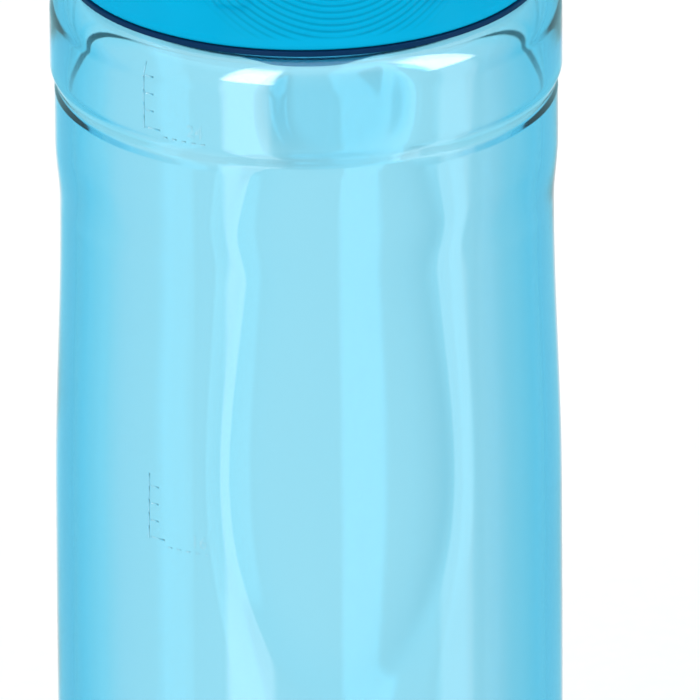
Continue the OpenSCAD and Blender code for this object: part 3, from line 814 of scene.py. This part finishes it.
def make_seals():
    gasket = [
        (26.7, 218.35, 0.3), (27.6, 218.35, 0.1), (27.9, 218.6, 0.1), (28.4, 218.6, 0.1),
        (28.7, 218.35, 0.1), (29.6, 218.35, 0.3), (29.6, 219.95, 0.3), (26.7, 219.95, 0.3),
    ]
    dress(lathe("cap_gasket_look", gasket, 128, steps=4), "gasket", soft_seal, ["cap_gasket"])
    seal = [
        (10.0, 221.78, 0.2), (11.8, 221.78, 0.2), (11.8, 222.57, 0.2), (11.2, 222.57, 0.1),
        (10.9, 222.42, 0.1), (10.6, 222.57, 0.1), (10.0, 222.57, 0.2),
    ]
    ring = lathe("housing_seal_look", seal, 96, (0, NOZZLE_Y, 0), steps=3)
    dress(ring, "cap", soft_seal, ["housing_seal"])
    vent = [
        (0, -0.95, 0), (1.2, -0.95, 0.3), (4.0, -0.5, 0.2), (4.0, -0.05, 0.12), (1.4, -0.05, 0.1),
        (1.4, 1.85, 0.1), (2.1, 1.85, 0.25), (1.3, 3.35, 0.4), (0, 3.35, 0),
    ]
    vent = [(r, CEILING_Z + z, fillet) for r, z, fillet in vent]
    umbrella = lathe("vent_valve_look", vent, 48, (0, VENT_Y, 0), steps=3)
    dress(umbrella, "cap", soft_seal, ["vent_valve"])


# ---------------------------------------------------------------- drinking valve
def make_valve():
    middle = (0, NOZZLE_Y, 0)
    housing = [
        (3.6, 198, 0.2), (5.1, 198, 0.8), (6.3, 199.6, 1.5), (9.8, 205.8, 4.0), (9.8, 222.6, 0.2),
        (11.8, 222.6, 0.25), (11.8, 224.1, 0.25), (8.3, 224.1, 0.3), (8.3, 205.8, 3.5),
        (4.8, 200.4, 1.0), (3.6, 199.6, 0.2),
    ]
    body = lathe("valve_housing_look", housing, 96, middle)
    dress(body, "cap", housing_plastic, ["valve_housing"])
    retainer = [
        (10.0, 224.15, 0.1), (11.8, 224.15, 0.2), (11.8, 226.55, 0.35),
        (7.6, 226.55, 0.35), (7.6, 225.4, 0.15), (10.0, 225.4, 0),
    ]
    ring = lathe("valve_retainer_look", retainer, 96, middle)
    for i in range(8):
        turn = math.radians(45 * i + 22.5)
        centre = (10.6 * math.sin(turn), NOZZLE_Y - 10.6 * math.cos(turn), 0)
        profile = [(0, 226.0, 0), (0.6, 226.0, 0.2), (0.6, 228, 0), (0, 228, 0)]
        combine(ring, lathe("notch", profile, 16, centre, steps=3), "DIFFERENCE")
    dress(ring, "cap", navy_plastic, ["valve_retainer"])
    spout = [
        (5.6, 226.6, 0.2), (11.8, 226.6, 0.3), (11.8, 228.0, 0.4), (7.6, 228.0, 0.5), (7.6, 240.6, 2.5),
        (6.15, 244.3, 2.6), (7.4, 248.4, 2.6), (7.4, 250.4, 2.0), (6.9, 252.2, 1.4), (4.7, 253.0, 1.0),
        (3.9, 253.0, 0.5), (3.1, 252.2, 0.6), (3.1, 246, 1.2), (4.6, 241, 1.6), (5.6, 238, 1.6),
    ]
    nozzle = lathe("nozzle_look", spout, 96, middle, steps=8)
    dress(nozzle, "cap", soft_nozzle, ["nozzle"])
    pad = [
        (0, 252.25, 0), (2.2, 252.25, 0.35), (2.25, 253.05, 0.15), (4.5, 253.05, 0.3),
        (4.5, 253.65, 0.4), (2.0, 254.22, 0.5), (0, 254.4, 0),
    ]
    plug = lathe("cover_plug_look", pad, 64, middle, steps=4)
    dress(plug, "cover", soft_seal, ["cover_plug"])


# ---------------------------------------------------------------- flip cover
def dome(radius, low, height):
    """Upper quarter of an oval, as lathe corners."""
    return [
        (radius * math.cos(a), low + (height - low) * math.sin(a), 0) for a in np.radians(np.arange(6, 90, 6))
    ]


def make_cover():
    """Dome with its hinge arm, thumb lip and latch tongue, hollowed out."""
    low = DECK_Z + 0.3
    middle = (0, NOZZLE_Y, 0)
    shell = [(0, low, 0), (COVER_R - 0.2, low, 0), (COVER_R, low + 0.25, 0), (COVER_R, low + 5, 0)]
    shell += dome(COVER_R, low + 5, COVER_TOP) + [(0, COVER_TOP, 0)]
    cover = lathe("flip_cover_look", shell, 128, middle, steps=2)
    arm = block("arm", (-8.45, 0, low), (8.45, HINGE[1] + 0.4, low + 2.2), 0.4)
    heel = block("heel", (-8.3, HINGE[1] - 5, low + 0.06), (8.3, HINGE[1], HINGE[2] + 0.4), 0.35)
    knuckle = lathe("knuckle", [(0, -8.6, 0), (2.7, -8.6, 0.3), (2.7, 8.6, 0.3), (0, 8.6, 0)], 64, HINGE, "X")
    tongue = block("tongue", (-2.8, -24.5, 229.4), (2.8, -22.5, low + 1.6), 0.25)
    barb = block("barb", (-2.7, -24.4, 229.45), (2.7, -20.6, 231.2), 0.3)
    lip_outline = [(12 * math.sin(a), -14.5 - 12 * math.cos(a)) for a in np.radians(np.arange(-42, 43, 6))]
    lip_outline += [(8.0, -6.0), (-8.0, -6.0)]
    lip = prism("lip", lip_outline, low + 0.06, low + 2.25, 0.45)
    for part in (arm, heel, knuckle, lip, tongue, barb):
        combine(cover, part, "UNION")
    room = [(0, low - 1, 0), (13.0, low - 1, 0), (13.0, low + 5, 0)]
    room += dome(13, low + 5, 254.5) + [(0, 254.5, 0)]
    combine(cover, lathe("room", room, 128, middle, steps=2), "DIFFERENCE")
    combine(cover, rod("bore", 1.05, -10, 10, 32, HINGE, "X"), "DIFFERENCE")
    gap = block("gap", (-3.4, HINGE[1] - 6, low - 1), (3.4, HINGE[1] + 6, low + 9), 0.3)
    combine(cover, gap, "DIFFERENCE")
    for y in (-25.2, -24.0, -22.8, -21.6):  # grip grooves across the thumb lip
        half = 5.2 if y < -24.5 else 6.2
        profile = [(0, -half, 0), (0.35, -half, 0.1), (0.35, half, 0.1), (0, half, 0)]
        combine(cover, lathe("groove", profile, 16, (0, y, low + 2.38), "X", 3), "DIFFERENCE")
    return dress(cover, "cover", lid_plastic, ["flip_cover"], sharp=30)


# ---------------------------------------------------------------- hinge, button and latch
def coil(name, mean_r, wire_d, length, turns, start, along):
    """Round wire wound along an axis, with its ends closed."""
    per_turn, sides = 24, 10
    steps = int(turns * per_turn)
    rings = []
    for i in range(steps + 1):
        a = 2 * math.pi * i / per_turn
        lift = wire_d / 2 + (length - wire_d) * i / steps
        ring = []
        for j in range(sides):
            b = 2 * math.pi * j / sides
            r = mean_r + wire_d / 2 * math.cos(b)
            p = (r * math.cos(a), r * math.sin(a), lift + wire_d / 2 * math.sin(b))
            p = (p[0], -p[2], p[1]) if along == "Y" else (p[2], p[0], p[1])
            ring.append(tuple(c + s for c, s in zip(p, start)))
        rings.append(ring)
    ends = [tuple(np.mean(ring, axis=0)) for ring in (rings[0], rings[-1])]
    return rings_object(name, [[ends[0]], *rings, [ends[1]]])


def make_hinge():
    half = 11.7
    profile = [(0, -half, 0), (1, -half, 0.35), (1, half, 0.35), (0, half, 0)]
    pin = lathe("hinge_pin_look", profile, 48, HINGE, "X")
    dress(pin, "cap", steel, ["hinge_pin"])
    spring = coil("hinge_spring_look", 1.45, 0.5, 5.8, 6, (-2.9, HINGE[1], HINGE[2]), "X")
    dress(spring, "cap", steel, ["hinge_spring"])


def make_button():
    """Round button with a dished face that carries the lid's rings on."""
    outline = [(0, 30.8), (6.1, 30.8)]
    for a in np.radians(np.arange(15, 91, 15)):
        outline.append((6.1 + 0.4 * math.sin(a), 31.2 - 0.4 * math.cos(a)))
    for a in np.radians(np.arange(0, 91, 10)):
        outline.append((5.6 + 0.9 * math.cos(a), 32.9 + 0.9 * math.sin(a)))
    for r in np.arange(5.4, 0.05, -0.1):
        valley = 0.5 - 0.5 * math.cos(2 * math.pi * r / RING_PITCH)
        outline.append((r, BUTTON_FACE + 0.012 * r * r - 0.07 * valley))
    outline.append((0, BUTTON_FACE))
    button = lathe("release_button_look", [(r, z, 0) for r, z in outline], 96, (0, 0, BUTTON_Z), "Y")
    return dress(button, "button", button_plastic, ["release_button"], sharp=50)


def make_latch():
    """Sliding catch behind the button, and the spring that returns it."""
    plate = block("latch_slide_look", (-5, -30.75, 231.6), (5, -17.5, 233.4), 0.3)
    stem = block("stem", (-5, -30.75, 222.65), (5, -29.15, 233.4), 0.3)
    combine(plate, stem, "UNION")
    for side in (-1, 1):
        rib = block("rib", (side * 4.2 - 0.5, -29.4, 228.4), (side * 4.2 + 0.5, -26.6, 231.9), 0.2)
        combine(plate, rib, "UNION")
    combine(plate, block("window", (-3.4, -28.2, 230), (3.4, -20.3, 235), 0.3), "DIFFERENCE")
    dress(plate, "button", slide_plastic, ["latch_slide"])
    spring_y, spring_z, length = -22.35, INSERT_TOP + 3.5, 6.7
    spring = coil("button_spring_look", 2.5, 0.6, length, 5, (0, spring_y, spring_z), "Y")
    dress(spring, None, steel, ["button_spring"])
    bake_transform(spring)


# ---------------------------------------------------------------- carry loop
def make_loop():
    """Half ring with a rippled grip and pivot bosses, and its two pins."""
    section = [
        (LOOP_IN, -LOOP_HALF, 0.8), (LOOP_OUT, -LOOP_HALF, 1.2),
        (LOOP_OUT, LOOP_HALF, 1.2), (LOOP_IN, LOOP_HALF, 0.8),
    ]
    rings = []
    for degrees in np.arange(-2.25, 182.3, 1.5):
        a = math.radians(degrees)
        grip = smooth(degrees, 60, 66) * smooth(-degrees, -120, -114)
        ripple = 0.22 * float(grip) * (0.5 + 0.5 * math.cos(math.radians(degrees - 90) * 60))
        ring = []
        for r, z in rounded(section, 6):
            r = r + (ripple * max(0.0, (35.0 - r) / 1.4) if r < 35 else 0)
            ring.append((r * math.cos(a), r * math.sin(a), LOOP_Z + z))
        rings.append(ring)
    ends = [tuple(np.mean(ring, axis=0)) for ring in (rings[0], rings[-1])]
    loop = rings_object("carry_loop_look", [[ends[0]], *rings, [ends[1]]])
    for side in (-1, 1):
        reach = [(0, 33.62, 0), (4.6, 33.62, 0.4), (4.6, 36.05, 0.9), (0, 36.3, 0)]
        boss = lathe("boss", [(r, side * x, f) for r, x, f in reach], 64, (0, 0, LOOP_Z), "X")
        combine(loop, boss, "UNION")
    combine(loop, rod("bore", 2.05, -40, 40, 48, (0, 0, LOOP_Z), "X"), "DIFFERENCE")
    dress(loop, "loop", loop_plastic, ["carry_loop"], sharp=35)
    pins = []
    for side in (-1, 1):
        shape = [
            (0, 29.5, 0), (3.0, 29.5, 0.4), (3.0, 30.9, 0.3),
            (2.0, 30.9, 0.1), (2.0, 36.15, 0.5), (0, 36.15, 0),
        ]
        pins.append(lathe("pin", [(r, side * x, f) for r, x, f in shape], 48, (0, 0, LOOP_Z), "X"))
    dress(joined("loop_pins_look", pins), "cap", steel, ["loop_pins"])


def keep_slit_valve():
    """The slit valve keeps its CAD mesh."""
    kept = nodes["slit_valve"]
    kept.data.materials.clear()
    kept.data.materials.append(soft_seal)


make_insert()
make_seals()
make_valve()
make_cover()
make_hinge()
make_button()
make_latch()
make_loop()
keep_slit_valve()


# ---------------------------------------------------------------- stage
def make_stage():
    reach = 30.0 / MM
    corners = [(-reach, -reach, 0), (reach, -reach, 0), (reach, reach, 0), (-reach, reach, 0)]
    floor = raw_object("floor", corners, [(0, 1, 2, 3)])
    floor.visible_glossy = False
    floor.visible_transmission = False
    material, g, shader, _ = new_material("floor_paper")
    fine = g.noise(350, 4)
    g.put(shader, "Base Color", g.mix(fine, (0.9, 0.9, 0.9), (0.94, 0.94, 0.94)))
    shader.inputs["Roughness"].default_value = 0.8
    shader.inputs["Specular IOR Level"].default_value = 0.1
    floor.data.materials.append(material)


def make_world():
    """White studio: two upright strip lights, blue flags beside the set, a soft light overhead."""
    world = bpy.data.worlds.new("studio")
    bpy.context.scene.world = world
    world.use_nodes = True
    g = Graph(world.node_tree)
    output = g.node("ShaderNodeOutputWorld")
    shader = g.node("ShaderNodeBackground")
    plain = g.node("ShaderNodeBackground")
    plain.inputs["Color"].default_value = (1, 1, 1, 1)
    plain.inputs["Strength"].default_value = 1.04
    place = g.node("ShaderNodeTexCoord").outputs["Generated"]
    parts = g.node("ShaderNodeSeparateXYZ", Vector=place)
    turn = g.math("ARCTAN2", parts.outputs[0], g.math("MULTIPLY", parts.outputs[1], -1.0))
    up = parts.outputs[2]

    def edged(off, half, soft):
        return g.spread(off, math.radians(half - soft), math.radians(half + soft), 1, 0, True)

    def strip(centre, half, soft, low, high):
        """1 within half degrees of centre and between two heights, with soft edges."""
        off = g.math("ABSOLUTE", g.math("SUBTRACT", turn, math.radians(centre + CAMERA_TURN)))
        above = g.spread(up, low - 0.04, low + 0.04, 0, 1, True)
        below = g.spread(up, high - 0.06, high + 0.06, 1, 0, True)
        return g.math("MULTIPLY", edged(off, half, soft), g.math("MULTIPLY", above, below))

    # the paper behind the bottle is white, the room beside and before it is dimmer
    from_back = g.math("ABSOLUTE", g.math("SUBTRACT", g.math("ABSOLUTE", turn), math.pi))
    total = g.spread(edged(from_back, 11, 5), 0, 1, 0.9, 1.04)
    for centre, half, power in ((-27, 11, 2.0), (71, 9, 1.2)):
        total = g.math("MULTIPLY_ADD", strip(centre, half, 2.0, -0.9, 0.93), power, total)
    path = g.node("ShaderNodeLightPath")
    # the strips' upper parts glare in mirrored and refracted rays only
    glints = g.math("ADD", strip(-27, 12, 2.0, 0.35, 0.85), strip(71, 12, 2.0, 0.35, 0.85))
    mirrored = g.math("MAXIMUM", path.outputs["Is Glossy Ray"], path.outputs["Is Transmission Ray"])
    glints = g.math("MULTIPLY", glints, mirrored)
    total = g.math("MULTIPLY_ADD", glints, 9.0, total)
    flags = g.math("ADD", strip(-134, 34, 8, -1.2, 0.7), strip(134, 34, 8, -1.2, 0.7))
    overhead = g.spread(up, 0.6, 0.85, 0, 1, True)
    total = g.math("MULTIPLY_ADD", overhead, 0.7, total)
    # matt surfaces gather light from all round, so they get less of it than mirrored rays do
    total = g.math("MULTIPLY", total, g.spread(mirrored, 0, 1, 0.86, 1.0))
    g.put(shader, "Strength", total)
    white, flag_blue = (1.0, 1.0, 1.0), (0.42, 0.88, 1.0)
    g.put(shader, "Color", g.mix(g.math("MINIMUM", flags, 1.0), white, flag_blue))
    mixed = g.node("ShaderNodeMixShader")
    g.put(mixed, 0, path.outputs["Is Camera Ray"])
    g.tree.links.new(shader.outputs[0], mixed.inputs[1])
    g.tree.links.new(plain.outputs[0], mixed.inputs[2])
    g.tree.links.new(mixed.outputs[0], output.inputs["Surface"])


make_stage()
make_world()
scene = bpy.context.scene
scene.view_settings.view_transform = "Standard"
scene.cycles.max_bounces = 40
scene.cycles.transmission_bounces = 32
scene.cycles.glossy_bounces = 6
scene.cycles.sample_clamp_indirect = 8
